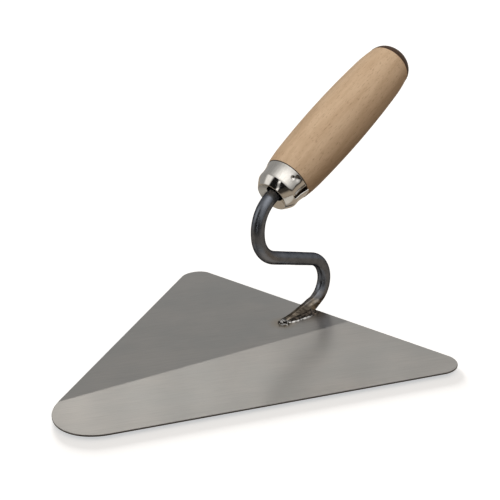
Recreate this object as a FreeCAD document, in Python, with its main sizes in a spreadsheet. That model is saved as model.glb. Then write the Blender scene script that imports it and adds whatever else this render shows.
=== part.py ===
import FreeCAD, Part

import math
import os

import Sketcher

# A bricklayer's and plasterer's triangular trowel: a flat steel blade, a round steel neck bent
# into an S and welded to the blade, a wooden handle driven onto the neck's tang, a pressed metal
# ferrule at the handle's front and a cap on its end.
# Frame: the origin is the centre of the blade's triangle on its underside, +X runs from the tip
# to the heel and the handle, +Z is up. The tool is symmetric about the XZ plane, apart from its
# welds and the ferrule's seam.

doc = FreeCAD.newDocument("TriangularTrowel")

# ---------------------------------------------------------------------------- driving dimensions
# Millimetres and degrees. "above" is above the blade's top face. Positions along the handle are
# measured from the ferrule's rear edge, and grow towards the handle's end.
SIZES = [
    ("blade_length", 180.0, "tip to heel edge"),
    ("blade_half_angle", 30.0, "half of the tip's angle, an equilateral triangle"),
    ("blade_thickness", 1.0, "sheet steel"),
    ("tip_rounding", 27.3, "radius of the tip"),
    ("corner_rounding", 11.1, "radius of the two heel corners"),
    ("edge_break", 0.15, "chamfer on the blade's edges"),
    ("rod_diameter", 8.0, "round bar of the neck"),
    ("foot_angle", 35.0, "slope of the neck's lowest stretch"),
    ("rear_bend_back", 29.7, "corner of the rear bend, behind the heel edge"),
    ("rear_bend_above", 23.3, "the same corner, above the blade"),
    ("rear_bend_radius", 14.7, "centreline radius"),
    ("front_bend_fore", 40.7, "corner of the front bend, ahead of the heel edge"),
    ("front_bend_above", 46.4, "the same corner, above the blade"),
    ("front_bend_radius", 16.0, "centreline radius"),
    ("tang_bend_above", 72.4, "corner of the bend into the handle, above the blade"),
    ("tang_bend_radius", 22.9, "centreline radius"),
    ("handle_angle", 28.7, "slope of the handle's axis"),
    ("root_depth", 5.2, "how far the bar runs below the blade's top face before it is trimmed"),
    ("tang_reach", 64.0, "end of the tang inside the handle"),
    ("tang_point", 1.6, "chamfer of the tang's end"),
    ("foot_length", 28.5, "forged foot, from its toe to the heel edge"),
    ("foot_heel_base", 9.6, "width of the foot on the blade at the heel"),
    ("foot_heel_crest", 2.8, "width of its top there"),
    ("foot_heel_height", 7.7, "height there"),
    ("foot_toe_base", 3.8, "width of the foot on the blade at the toe"),
    ("foot_toe_crest", 1.6, "width of its top there"),
    ("foot_toe_height", 0.9, "height there"),
    ("bead_sink", 0.9, "how far a bead's axis lies under the blade's top face"),
    ("side_bead_length", 25.0, "weld along each side of the foot"),
    ("left_bead_toe", 2.5, "radius of the left bead near the toe"),
    ("left_bead_heel", 3.9, "radius of the left bead's swell near the heel"),
    ("right_bead_toe", 1.5, "radius of the right bead near the toe"),
    ("right_bead_heel", 2.9, "radius of the right bead near the heel"),
    ("bead_spread", 5.5, "angle between each side bead and the XZ plane"),
    ("toe_bead_radius", 2.6, "radius of the blob at the toe"),
    ("seat_back", 29.3, "ferrule's rear edge, from the corner of the bend into the handle"),
    ("ferrule_wall", 0.9, "sheet thickness"),
    ("ferrule_lip", 14.5, "radius of the flared rear lip"),
    ("ferrule_flare", 2.0, "length of the flare"),
    ("ferrule_band", 13.15, "radius of the straight band"),
    ("ferrule_shoulder", 9.5, "front end of the band, ahead of the rear edge"),
    ("ferrule_rim", 9.7, "radius of the front rim"),
    ("ferrule_front", 15.0, "front rim, ahead of the rear edge"),
    ("ferrule_hole", 5.3, "radius of the hole for the neck"),
    ("ferrule_dish", 2.8, "how deep the front is dished"),
    ("slot_width", 2.0, "gap of the ferrule's rolled seam"),
    ("slot_angle", 102.0, "seam's place round the axis, from the top towards the left side"),
    ("stake_angle", 59.0, "punched stake mark's place round the axis"),
    ("stake_place", 3.7, "stake mark, ahead of the rear edge"),
    ("stake_radius", 1.2, "radius of the stake mark"),
    ("stake_depth", 0.45, "depth of the stake mark"),
    ("notch_width", 0.7, "small notch where the seam meets the rim"),
    ("grip_front", 14.45, "wood's radius at the ferrule"),
    ("grip_swell", 16.0, "wood's radius where the belly starts and ends"),
    ("grip_swell_fore", 12.0, "start of the belly"),
    ("grip_swell_back", 92.0, "end of the belly"),
    ("grip_belly_curve", 640.0, "radius of the belly's long curve"),
    ("grip_rear", 14.05, "wood's radius at the cap"),
    ("grip_length", 106.5, "wood from ferrule to cap"),
    ("spigot_clearance", 0.05, "between a spigot or the tang and the hole around it"),
    ("cap_rim", 14.2, "cap's radius beside the wood"),
    ("cap_shoulder", 11.2, "cap's radius where the shoulder meets the dome"),
    ("cap_shoulder_back", 112.0, "place of that circle"),
    ("cap_end", 116.4, "end of the dome"),
    ("cap_spigot", 10.6, "radius of the wood's spigot inside the cap"),
    ("cap_spigot_length", 4.2, "length of that spigot"),
]

sheet = doc.addObject("Spreadsheet::Sheet", "Sizes")
for row, (alias, value, meaning) in enumerate(SIZES, start=1):
    sheet.set("A%d" % row, meaning)
    sheet.set("B%d" % row, str(value))
    sheet.setAlias("B%d" % row, alias)
doc.recompute()

# Derived lengths, as expressions that sketches and placements share.
BLADE_TOP = "Sizes.blade_thickness"
HEEL = "(Sizes.blade_length + Sizes.tip_rounding) / 3"
TIP_CORNER = "-2 * (%s)" % HEEL
CORNER_SIDE = "(Sizes.blade_length + Sizes.tip_rounding) * tan(Sizes.blade_half_angle * 1 deg)"
REAR_X = "(%s + Sizes.rear_bend_back)" % HEEL
REAR_Z = "(Sizes.blade_thickness + Sizes.rear_bend_above)"
FRONT_X = "(%s - Sizes.front_bend_fore)" % HEEL
FRONT_Z = "(Sizes.blade_thickness + Sizes.front_bend_above)"
TANG_Z = "(Sizes.blade_thickness + Sizes.tang_bend_above)"
HANDLE_COS = "cos(Sizes.handle_angle * 1 deg)"
HANDLE_SIN = "sin(Sizes.handle_angle * 1 deg)"
ROOT_Z = "(Sizes.blade_thickness - Sizes.root_depth)"
ROOT_X = "(%s - (%s - %s) / tan(Sizes.foot_angle * 1 deg))" % (REAR_X, REAR_Z, ROOT_Z)
TANG_RUN = "(Sizes.seat_back + Sizes.tang_reach)"
TANG_END_X = "(%s + %s * %s)" % (FRONT_X, TANG_RUN, HANDLE_COS)
TANG_END_Z = "(%s + %s * %s)" % (TANG_Z, TANG_RUN, HANDLE_SIN)
SEAT_X = "(%s + Sizes.seat_back * %s)" % (FRONT_X, HANDLE_COS)
SEAT_Z = "(%s + Sizes.seat_back * %s)" % (TANG_Z, HANDLE_SIN)
BORE = "(Sizes.rod_diameter / 2 + Sizes.spigot_clearance)"
BAND_INSIDE = "(Sizes.ferrule_band - Sizes.ferrule_wall)"
SPIGOT_FRONT = "(Sizes.ferrule_shoulder - Sizes.ferrule_wall)"

FULL_TURN = 360.0
HALF_TURN = 180.0
TINY = 1e-3
START, END, CENTRE = 1, 2, 3      # points of a sketch edge
ORIGIN = -1                       # the sketch's own horizontal axis; its point 1 is the origin


def value_of(expression):
    """The number that an expression on the sheet has now."""
    result = sheet.evalExpression(expression)
    return float(getattr(result, "Value", result))


# -------------------------------------------------------------------------------- sketch helpers
def new_body(name):
    body = doc.addObject("PartDesign::Body", name)
    body.Label = name
    return body


def plane_of(body, role):
    return [plane for plane in body.Origin.OriginFeatures if plane.Role == role][0]


def new_sketch(body, name, role="XZ_Plane", offset=None):
    """A sketch on one of the body's origin planes, moved along that plane's normal by offset."""
    sketch = body.newObject("Sketcher::SketchObject", name)
    sketch.AttachmentSupport = [(plane_of(body, role), "")]
    sketch.MapMode = "FlatFace"
    if offset is not None:
        sketch.setExpression("AttachmentOffset.Base.z", offset)
    return sketch


def hold(sketch, kind, *where, expression):
    """A dimension of the sketch, bound to an expression on the sheet."""
    number = sketch.addConstraint(Sketcher.Constraint(kind, *where, value_of(expression)))
    sketch.setExpression("Constraints[%d]" % number, expression)


def place(sketch, edge, point, corner):
    """Hold a point of an edge at the corner's two expressions."""
    hold(sketch, "DistanceX", ORIGIN, 1, edge, point, expression=corner[0])
    hold(sketch, "DistanceY", ORIGIN, 1, edge, point, expression=corner[1])


def line(sketch, start, end):
    edge = sketch.addGeometry(Part.LineSegment(start, end), False)
    return edge, START, END


def arc(sketch, centre, start, end, clockwise):
    """An arc from start to end. An edge's own start is where its anticlockwise sweep begins."""
    circle = Part.Circle(centre, FreeCAD.Vector(0, 0, 1), (start - centre).Length)
    first, last = (end, start) if clockwise else (start, end)
    angles = [math.atan2(point.y - centre.y, point.x - centre.x) for point in (first, last)]
    if angles[1] < angles[0]:
        angles[1] += 2 * math.pi
    edge = sketch.addGeometry(Part.ArcOfCircle(circle, angles[0], angles[1]), False)
    if clockwise:
        return edge, END, START
    return edge, START, END


def centre_from_radius(start, end, radius):
    """Centre of an arc that bulges to the left of its run from start to end."""
    half = (end - start) * 0.5
    left = FreeCAD.Vector(-half.y, half.x, 0).normalize()
    return start + half - left * math.sqrt(radius ** 2 - half.Length ** 2)


def centre_from_tangent(start, end, point, direction):
    """Centre of the arc through start and end that leaves point along direction."""
    other = end if point == start else start
    normal = FreeCAD.Vector(-direction.y, direction.x, 0).normalize()
    across = other - point
    return point + normal * (across.Length ** 2 / (2 * normal.dot(across)))


def centre_on_axis(start, end):
    """Centre, on the sketch's horizontal axis, of the arc through start and end."""
    along = (end.dot(end) - start.dot(start)) / (2 * (end.x - start.x))
    return FreeCAD.Vector(along, 0, 0)


def outline(sketch, corners, arcs=()):
    """A closed outline through the corners, each held by a pair of expressions.

    arcs gives the curved sides as (side, kind, detail): "radius" with an expression, "tangent"
    with the number of the neighbour side, which comes earlier in arcs, or "axis" for a centre
    on the sketch's horizontal axis. Every arc bulges to the left of its run.
    """
    points = [FreeCAD.Vector(value_of(x), value_of(y), 0) for x, y in corners]
    count = len(points)
    centres = {}
    for side, kind, detail in arcs:
        start, end = points[side], points[(side + 1) % count]
        if kind == "radius":
            centres[side] = centre_from_radius(start, end, value_of(detail))
        elif kind == "axis":
            centres[side] = centre_on_axis(start, end)
        else:
            shared = end if detail == (side + 1) % count else start
            spoke = shared - centres[detail]
            direction = FreeCAD.Vector(-spoke.y, spoke.x, 0)
            centres[side] = centre_from_tangent(start, end, shared, direction)
    sides = []
    for side in range(count):
        start, end = points[side], points[(side + 1) % count]
        if side in centres:
            sides.append(arc(sketch, centres[side], start, end, clockwise=True))
        else:
            sides.append(line(sketch, start, end))
    tangent_pairs = {}
    for side, kind, detail in arcs:
        if kind == "tangent":
            first = side if detail == (side + 1) % count else detail
            tangent_pairs[first] = True
    for side in range(count):
        edge, _, last = sides[side]
        following, first, _ = sides[(side + 1) % count]
        joint = "Tangent" if side in tangent_pairs else "Coincident"
        sketch.addConstraint(Sketcher.Constraint(joint, edge, last, following, first))
    for (edge, first, _), corner in zip(sides, corners):
        place(sketch, edge, first, corner)
    for side, kind, detail in arcs:
        if kind == "radius":
            hold(sketch, "Radius", sides[side][0], expression=detail)
        elif kind == "axis":
            sketch.addConstraint(Sketcher.Constraint("PointOnObject", sides[side][0], CENTRE, ORIGIN))
    return sketch


def circle(sketch, radius, centre=("0", "0")):
    at = FreeCAD.Vector(value_of(centre[0]), value_of(centre[1]), 0)
    up = FreeCAD.Vector(0, 0, 1)
    edge = sketch.addGeometry(Part.Circle(at, up, value_of(radius)), False)
    place(sketch, edge, CENTRE, centre)
    hold(sketch, "Radius", edge, expression=radius)
    return sketch


# ------------------------------------------------------------------------------- feature helpers
def pad(body, name, sketch, length):
    feature = body.newObject("PartDesign::Pad", name)
    feature.Profile = sketch
    feature.setExpression("Length", length)
    return feature


def pocket(body, name, sketch, length, symmetric=False, reverse=False):
    """A cut that must take material away: remember the volume before it, to compare later."""
    doc.recompute()
    before = body.Shape.Volume
    feature = body.newObject("PartDesign::Pocket", name)
    feature.Profile = sketch
    feature.setExpression("Length", length)
    feature.SideType = "Symmetric" if symmetric else "One side"
    feature.Reversed = reverse
    doc.recompute()
    if feature.Shape.Volume > before - TINY:
        raise RuntimeError("%s cuts nothing" % name)
    return feature


def revolve(body, name, sketch, angle=FULL_TURN, reverse=False):
    feature = body.newObject("PartDesign::Revolution", name)
    feature.Profile = sketch
    feature.ReferenceAxis = (sketch, ["H_Axis"])
    feature.Angle = angle
    feature.Reversed = reverse
    return feature


def dress(body, kind, name, base, parts, length, quantity):
    """A Fillet or Chamfer on some edges or faces of base."""
    feature = body.newObject("PartDesign::" + kind, name)
    feature.Base = (base, parts)
    feature.setExpression(quantity, length)
    return feature


def edges_where(feature, test):
    doc.recompute()
    return ["Edge%d" % n for n, edge in enumerate(feature.Shape.Edges, start=1) if test(edge)]


def faces_where(feature, test):
    doc.recompute()
    return ["Face%d" % n for n, face in enumerate(feature.Shape.Faces, start=1) if test(face)]


def seat_on_handle_axis(thing):
    """Local +X becomes the handle's axis, and the local origin the ferrule's rear edge."""
    thing.Placement.Rotation = FreeCAD.Rotation(FreeCAD.Vector(0, -1, 0), 1.0)
    thing.setExpression("Placement.Base.x", SEAT_X)
    thing.setExpression("Placement.Base.z", SEAT_Z)
    thing.setExpression("Placement.Rotation.Angle", "Sizes.handle_angle * 1 deg")
    return thing


# ----------------------------------------------------------------------------------------- blade
def make_blade():
    body = new_body("blade")
    corners = [(TIP_CORNER, "0"), (HEEL, "-(%s)" % CORNER_SIDE), (HEEL, CORNER_SIDE)]
    sheet_outline = outline(new_sketch(body, "BladeOutline", "XY_Plane"), corners)
    plate = pad(body, "BladePlate", sheet_outline, "Sizes.blade_thickness")

    def upright(edge):
        box = edge.BoundBox
        return box.ZLength > TINY and box.XLength < TINY

    tip = edges_where(plate, lambda edge: upright(edge) and edge.BoundBox.XMin < 0)
    rounded_tip = dress(body, "Fillet", "TipRounding", plate, tip, "Sizes.tip_rounding", "Radius")
    heel = edges_where(rounded_tip, lambda edge: upright(edge) and edge.BoundBox.XMin > 0)
    rounded = dress(body, "Fillet", "CornerRounding", rounded_tip, heel,
                    "Sizes.corner_rounding", "Radius")
    flats = faces_where(rounded, lambda face: face.BoundBox.ZLength < TINY)
    dress(body, "Chamfer", "EdgeBreak", rounded, flats, "Sizes.edge_break", "Size")
    return body


# ------------------------------------------------------------------------------------- neck rod
def neck_path(body):
    """The bar's centreline: four straight runs whose corners are rounded by three bends."""
    sketch = new_sketch(body, "NeckPath")
    ends = [(ROOT_X, ROOT_Z), (TANG_END_X, TANG_END_Z)]
    bends = [
        (REAR_X, REAR_Z, "Sizes.rear_bend_radius"),
        (FRONT_X, FRONT_Z, "Sizes.front_bend_radius"),
        (FRONT_X, TANG_Z, "Sizes.tang_bend_radius"),
    ]
    course = [ends[0]] + [bend[:2] for bend in bends] + [ends[1]]
    points = [FreeCAD.Vector(value_of(x), value_of(z), 0) for x, z in course]
    touches = [(points[0], points[0])]
    centres = []
    for before, corner, after, bend in zip(points, points[1:], points[2:], bends):
        back = (before - corner).normalize()
        ahead = (after - corner).normalize()
        half = back.getAngle(ahead) / 2
        radius = value_of(bend[2])
        reach = radius / math.tan(half)
        touches.append((corner + back * reach, corner + ahead * reach))
        centres.append(corner + (back + ahead).normalize() * (radius / math.sin(half)))
    touches.append((points[-1], points[-1]))
    runs = [line(sketch, a[1], b[0]) for a, b in zip(touches, touches[1:])]
    for number, (centre, bend) in enumerate(zip(centres, bends)):
        enter, leave = touches[number + 1]
        turn = (enter - centre).cross(leave - centre).z
        edge, first, last = arc(sketch, centre, enter, leave, clockwise=turn < 0)
        before, after = runs[number], runs[number + 1]
        sketch.addConstraint(Sketcher.Constraint("Tangent", before[0], before[2], edge, first))
        sketch.addConstraint(Sketcher.Constraint("Tangent", edge, last, after[0], after[1]))
        hold(sketch, "Radius", edge, expression=bend[2])
        corner = sketch.addGeometry(Part.Point(points[number + 1]), True)
        sketch.addConstraint(Sketcher.Constraint("PointOnObject", corner, 1, before[0]))
        sketch.addConstraint(Sketcher.Constraint("PointOnObject", corner, 1, after[0]))
        place(sketch, corner, 1, bend[:2])
    place(sketch, runs[0][0], START, ends[0])
    place(sketch, runs[-1][0], END, ends[1])
    return sketch


def foot_section(body, name, place_x, base, crest, height):
    """A trapezium across the foot, standing on the blade's top face."""
    top = "(%s + %s)" % (BLADE_TOP, height)
    corners = [
        ("-%s / 2" % base, BLADE_TOP),
        ("%s / 2" % base, BLADE_TOP),
        ("%s / 2" % crest, top),
        ("-%s / 2" % crest, top),
    ]
    return outline(new_sketch(body, name, "YZ_Plane", place_x), corners)


def make_neck_rod():
    body = new_body("neck_rod")
    path = neck_path(body)
    section = new_sketch(body, "BarSection", "YZ_Plane", ROOT_X)
    section.AttachmentOffset = FreeCAD.Placement(
        FreeCAD.Vector(0, 0, 0), FreeCAD.Rotation(FreeCAD.Vector(-1, 0, 0), 1.0))
    section.setExpression("AttachmentOffset.Base.z", ROOT_X)
    section.setExpression("AttachmentOffset.Base.y", ROOT_Z)
    section.setExpression("AttachmentOffset.Rotation.Angle", "Sizes.foot_angle * 1 deg")
    circle(section, "Sizes.rod_diameter / 2")
    bar = body.newObject("PartDesign::AdditivePipe", "BentBar")
    bar.Profile = section
    bar.Spine = (path, [])
    doc.recompute()

    tang_x = value_of(TANG_END_X)
    far_end = edges_where(bar, lambda edge: abs(edge.BoundBox.Center.x - tang_x) < TINY)
    dress(body, "Chamfer", "TangPoint", bar, far_end, "Sizes.tang_point", "Size")

    heel_section = foot_section(body, "FootAtHeel", HEEL, "Sizes.foot_heel_base",
                                "Sizes.foot_heel_crest", "Sizes.foot_heel_height")
    toe_section = foot_section(body, "FootAtToe", "%s - Sizes.foot_length" % HEEL,
                               "Sizes.foot_toe_base", "Sizes.foot_toe_crest",
                               "Sizes.foot_toe_height")
    foot = body.newObject("PartDesign::AdditiveLoft", "ForgedFoot")
    foot.Profile = heel_section
    foot.Sections = [toe_section]
    foot.Ruled = True

    below = "(%s - 2 * Sizes.root_depth)" % BLADE_TOP
    trim_from = "(%s - Sizes.root_depth)" % ROOT_X
    trim_corners = [(trim_from, below), (REAR_X, below), (REAR_X, BLADE_TOP), (trim_from, BLADE_TOP)]
    trim = outline(new_sketch(body, "TrimOutline"), trim_corners)
    pocket(body, "TrimAtBlade", trim, "4 * Sizes.rod_diameter", symmetric=True)
    return body


# --------------------------------------------------------------------------------------- welds
def half_bead(name, length, toe_radius, heel_radius):
    """The upper half of a bead: a spindle along local X that swells towards its far end."""
    body = new_body(name)
    crater = "(%s * 0.5)" % toe_radius
    corners = [
        ("0", "0"),
        (crater, toe_radius),
        ("(%s - %s)" % (length, heel_radius), heel_radius),
        (length, "0"),
    ]
    arcs = [(2, "axis", None), (0, "axis", None)]
    profile = outline(new_sketch(body, name + "Profile", "XY_Plane"), corners, arcs)
    revolve(body, name + "Spindle", profile, HALF_TURN)
    return body


def trimmed(shape, tools, label):
    """The shape less each tool in turn, so that a weld only touches what it joins."""
    for number, tool in enumerate(tools, start=1):
        cut = doc.addObject("Part::Cut", "%sTrim%d" % (label, number))
        cut.Base = shape
        cut.Tool = tool
        shape = cut
    shape.Label = label
    return shape


def make_side_bead(label, side, toe_radius, heel_radius, blade, neck):
    """side is -1 for the left of the foot, seen from the handle, and 1 for the right."""
    bead = half_bead(label + "_spindle", "Sizes.side_bead_length", toe_radius, heel_radius)
    bead.Placement.Rotation = FreeCAD.Rotation(FreeCAD.Vector(0, 0, side), 1.0)
    bead.setExpression("Placement.Base.x", "%s - Sizes.foot_length" % HEEL)
    bead.setExpression("Placement.Base.y", "%d * Sizes.foot_toe_base / 2" % side)
    bead.setExpression("Placement.Base.z", "%s - Sizes.bead_sink" % BLADE_TOP)
    bead.setExpression("Placement.Rotation.Angle", "Sizes.bead_spread * 1 deg")
    return trimmed(bead, [blade, neck], label)


def make_toe_bead(label, blade, neck, side_beads):
    ball = doc.addObject("Part::Sphere", "ToeBlob")
    ball.Angle1 = 0
    ball.setExpression("Radius", "Sizes.toe_bead_radius")
    ball.setExpression("Placement.Base.x", "%s - Sizes.foot_length" % HEEL)
    ball.setExpression("Placement.Base.z", "%s - Sizes.bead_sink" % BLADE_TOP)
    return trimmed(ball, [blade, neck] + side_beads, label)


# --------------------------------------------------------------------------------------- ferrule
def make_ferrule():
    """A pressed tube: flared rear lip, straight band, cone, and a dished front with a hole."""
    body = seat_on_handle_axis(new_body("ferrule"))
    wall = "Sizes.ferrule_wall"
    dish_floor = "-(Sizes.ferrule_front - Sizes.ferrule_dish)"
    corners = [
        ("0", BAND_INSIDE),
        ("-%s" % SPIGOT_FRONT, BAND_INSIDE),
        ("-(Sizes.ferrule_front - 2 * %s)" % wall, "(Sizes.ferrule_rim - %s)" % wall),
        ("%s + %s" % (dish_floor, wall), "Sizes.ferrule_hole"),
        (dish_floor, "Sizes.ferrule_hole"),
        ("-Sizes.ferrule_front", "Sizes.ferrule_rim - %s / 2" % wall),
        ("-(Sizes.ferrule_front - %s / 2)" % wall, "Sizes.ferrule_rim + %s / 2" % wall),
        ("-Sizes.ferrule_shoulder", "Sizes.ferrule_band"),
        ("-Sizes.ferrule_flare", "Sizes.ferrule_band"),
        ("-%s / 2" % wall, "Sizes.ferrule_lip"),
        ("0", "Sizes.ferrule_lip"),
    ]
    shell = revolve(body, "FerruleShell", outline(new_sketch(body, "FerruleProfile"), corners))

    def is_shoulder(edge):
        curve = edge.Curve
        if curve.TypeId != "Part::GeomCircle":
            return False
        same_radius = abs(curve.Radius - value_of("Sizes.ferrule_band")) < TINY
        return same_radius and abs(curve.Center.x + value_of("Sizes.ferrule_shoulder")) < TINY

    shoulder = edges_where(shell, is_shoulder)
    dress(body, "Fillet", "ShoulderRounding", shell, shoulder, "Sizes.ferrule_wall", "Radius")
    slot_front = "-(Sizes.ferrule_shoulder - Sizes.ferrule_wall)"
    cut_slot(body, "SeamGap", slot_front, "Sizes.ferrule_wall", "Sizes.slot_width")
    notch_rear = "-(Sizes.ferrule_front - Sizes.ferrule_wall)"
    cut_slot(body, "RimNotch", "-(Sizes.ferrule_front + 1)", notch_rear, "Sizes.notch_width")
    stake_mark(body)
    return body


def cut_slot(body, name, front, rear, width):
    """A slot through one side of the ferrule, along the seam of its rolled sheet."""
    sketch = new_sketch(body, name + "Outline", "XZ_Plane")
    sketch.AttachmentOffset = FreeCAD.Placement(
        FreeCAD.Vector(0, 0, 0), FreeCAD.Rotation(FreeCAD.Vector(1, 0, 0), 1.0))
    sketch.setExpression("AttachmentOffset.Rotation.Angle", "(Sizes.slot_angle - 90) * 1 deg")
    half = width + " / 2"
    outline(sketch, [(front, "-" + half), (rear, "-" + half), (rear, half), (front, half)])
    pocket(body, name, sketch, "2 * Sizes.ferrule_lip", reverse=True)


def stake_mark(body):
    """The punched dent that keeps the ferrule on the wood."""
    before = body.Shape.Volume
    dent = body.newObject("PartDesign::SubtractiveSphere", "StakeMark")
    dent.setExpression("Radius", "Sizes.stake_radius")
    out = "(Sizes.ferrule_band + Sizes.stake_radius - Sizes.stake_depth)"
    dent.setExpression("Placement.Base.x", "-Sizes.stake_place")
    dent.setExpression("Placement.Base.y", "-%s * sin(Sizes.stake_angle * 1 deg)" % out)
    dent.setExpression("Placement.Base.z", "%s * cos(Sizes.stake_angle * 1 deg)" % out)
    doc.recompute()
    if dent.Shape.Volume > before - TINY:
        raise RuntimeError("the stake mark cuts nothing")


# -------------------------------------------------------------------------------- handle and cap
def make_handle():
    """Turned wood: a spigot in the ferrule, a long belly, a spigot in the cap, a blind bore."""
    body = seat_on_handle_axis(new_body("handle"))
    front_spigot = "(%s - Sizes.spigot_clearance)" % BAND_INSIDE
    spigot_end = "Sizes.grip_length + Sizes.cap_spigot_length"
    bore_end = "(Sizes.tang_reach + Sizes.spigot_clearance)"
    corners = [
        ("-%s" % SPIGOT_FRONT, BORE),
        ("-%s" % SPIGOT_FRONT, front_spigot),
        ("0", front_spigot),
        ("0", "Sizes.grip_front"),
        ("Sizes.grip_swell_fore", "Sizes.grip_swell"),
        ("Sizes.grip_swell_back", "Sizes.grip_swell"),
        ("Sizes.grip_length", "Sizes.grip_rear"),
        ("Sizes.grip_length", "Sizes.cap_spigot"),
        (spigot_end, "Sizes.cap_spigot"),
        (spigot_end, "0"),
        (bore_end, "0"),
        (bore_end, BORE),
    ]
    arcs = [(4, "radius", "Sizes.grip_belly_curve"), (3, "tangent", 4), (5, "tangent", 4)]
    revolve(body, "TurnedGrip", outline(new_sketch(body, "GripProfile"), corners, arcs))
    return body


def make_end_cap():
    """A moulded cap with a domed end, pushed over the wood's rear spigot."""
    body = seat_on_handle_axis(new_body("end_cap"))
    hole = "(Sizes.cap_spigot + Sizes.spigot_clearance)"
    floor = "(Sizes.grip_length + Sizes.cap_spigot_length + Sizes.spigot_clearance)"
    corners = [
        ("Sizes.grip_length", hole),
        ("Sizes.grip_length", "Sizes.cap_rim"),
        ("Sizes.cap_shoulder_back", "Sizes.cap_shoulder"),
        ("Sizes.cap_end", "0"),
        (floor, "0"),
        (floor, hole),
    ]
    arcs = [(2, "axis", None), (1, "tangent", 2)]
    revolve(body, "MouldedCap", outline(new_sketch(body, "CapProfile"), corners, arcs))
    return body


# --------------------------------------------------------------------------------- the assembly
blade = make_blade()
neck = make_neck_rod()
left_bead = make_side_bead("weld_bead_left", -1, "Sizes.left_bead_toe", "Sizes.left_bead_heel",
                           blade, neck)
right_bead = make_side_bead("weld_bead_right", 1, "Sizes.right_bead_toe", "Sizes.right_bead_heel",
                            blade, neck)
toe_bead = make_toe_bead("weld_bead_toe", blade, neck, [left_bead, right_bead])
ferrule = make_ferrule()
handle = make_handle()
end_cap = make_end_cap()
doc.recompute()

failed = [obj.Name for obj in doc.Objects if {"Invalid", "Error"} & set(obj.State)]
if failed:
    raise RuntimeError("failed objects: " + ", ".join(failed))

subparts = [blade, neck, left_bead, right_bead, toe_bead, ferrule, handle, end_cap]
for part in subparts:
    if part.Shape.isNull() or not part.Shape.isValid():
        raise RuntimeError("bad shape: " + part.Label)

os.makedirs("parts", exist_ok=True)
for part in subparts:
    part.Shape.exportStep("parts/%s.step" % part.Label)
    print("%-16s %9.1f mm3, %d solid" % (part.Label, part.Shape.Volume, len(part.Shape.Solids)))
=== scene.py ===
import math

import bmesh
import bpy
from mathutils import Matrix, Vector
from mathutils import noise as noise_field


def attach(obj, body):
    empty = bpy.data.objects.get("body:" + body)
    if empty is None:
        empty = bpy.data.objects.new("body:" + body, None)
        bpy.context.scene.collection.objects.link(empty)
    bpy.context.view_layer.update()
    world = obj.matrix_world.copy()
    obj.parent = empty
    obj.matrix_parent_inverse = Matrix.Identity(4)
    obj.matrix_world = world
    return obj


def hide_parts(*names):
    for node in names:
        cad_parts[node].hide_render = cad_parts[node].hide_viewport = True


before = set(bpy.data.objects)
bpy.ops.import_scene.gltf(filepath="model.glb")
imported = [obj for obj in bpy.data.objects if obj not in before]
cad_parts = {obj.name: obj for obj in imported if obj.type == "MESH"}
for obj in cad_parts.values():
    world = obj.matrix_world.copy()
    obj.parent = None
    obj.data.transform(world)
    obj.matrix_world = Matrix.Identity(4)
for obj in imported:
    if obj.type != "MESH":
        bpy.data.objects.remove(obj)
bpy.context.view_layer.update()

MM = 0.001

# Sizes are in millimetres unless they are multiplied by MM. The blade lies on z = 0, its rear edge is at
# HEEL_X and its grinding marks run at GRIND_TURN. The neck and the handle are built up from its top face.
BLADE_TOP = 1.0
HEEL_X = 69.1
GRIND_TURN = math.radians(34.0)

# The handle's axis starts at the middle of the ferrule's rear edge and climbs away from the blade.
SEAT = Vector((54.1, 0.0, BLADE_TOP + 86.5)) * MM
HANDLE_ANGLE = math.radians(28.7)

# The neck: its bar, the corners of its centreline (x, z), the bends that round them and the middle of the
# heat tint on the front bend.
BAR_RADIUS = 4.0
NECK_CORNERS = [(98.8, BLADE_TOP + 23.3), (28.4, BLADE_TOP + 46.4), (28.4, BLADE_TOP + 72.4)]
NECK_BENDS = [14.7, 16.0, 22.9]
TANG_LENGTH = 92.0
FRONT_BEND_TINT = Vector((32.0, 0.0, BLADE_TOP + 42.5)) * MM

# The neck's foot: a tongue hammered flat, whose crest rises from the toe until the round bar takes over.
FOOT_ANGLE = math.radians(35.0)
FOOT_TOP = BLADE_TOP + 20.0
TOE_X = 40.6
JOIN_X = 74.6
TONGUE_START = 44.0
TONGUE_CREST = 0.9
TONGUE_RISE = 0.27
TONGUE_SINK = 0.2

# Half the width of the tongue's crest and of its base, at the toe and at the blade's rear edge.
CREST_AT_TOE = 0.9
CREST_AT_HEEL = 1.5
BASE_AT_TOE = 1.9
BASE_AT_HEEL = 4.2

# The welds. The near one's outer lip lies about LIP_START + LIP_SPREAD * x out from the middle.
WELD_TOE = Vector((43.0, -1.5, BLADE_TOP)) * MM
WELD_LENGTH = 26.5
WELD_SINK = 0.15
LIP_SPREAD = 0.21
LIP_START = -4.3

# The ferrule, along the handle's axis (forward is negative) and out from it.
SHEET = 0.9
LIP_RADIUS = 14.5
BAND_RADIUS = 13.15
FLARE_END = -4.2
SHOULDER = -9.5
RIM = -15.0
RIM_RADIUS = 9.7
HOLE_RADIUS = 5.3
DISH_DEPTH = 2.8
SEAM_ANGLE = 102.0
SEAM_HALF_GAP = 5.5
STAKE_ANGLE = 59.0
STAKE_PLACE = -3.7

# Where the camera stands: low over the blade's left edge, in front of its point.
CAMERA_AZIMUTH = math.radians(-41.11)
CAMERA_ELEVATION = math.radians(19.83)
CAMERA_ROLL = math.radians(4.49)
CAMERA_DISTANCE = 628.77 * MM
CAMERA_TARGET = Vector((118.2, 110.6, BLADE_TOP)) * MM
CAMERA_LENS = 60.18

# The paper floor, in metres. The blade stands a little over it, so that its shadow is soft. In reflections
# it turns dark over TABLE_EDGE, measured out towards ROOM_SIDE.
FLOOR_SIZE = 12.0
FLOOR_GAP = 2.0 * MM
ROOM_SIDE = 229.0
TABLE_EDGE = (0.12, 0.32)

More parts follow.
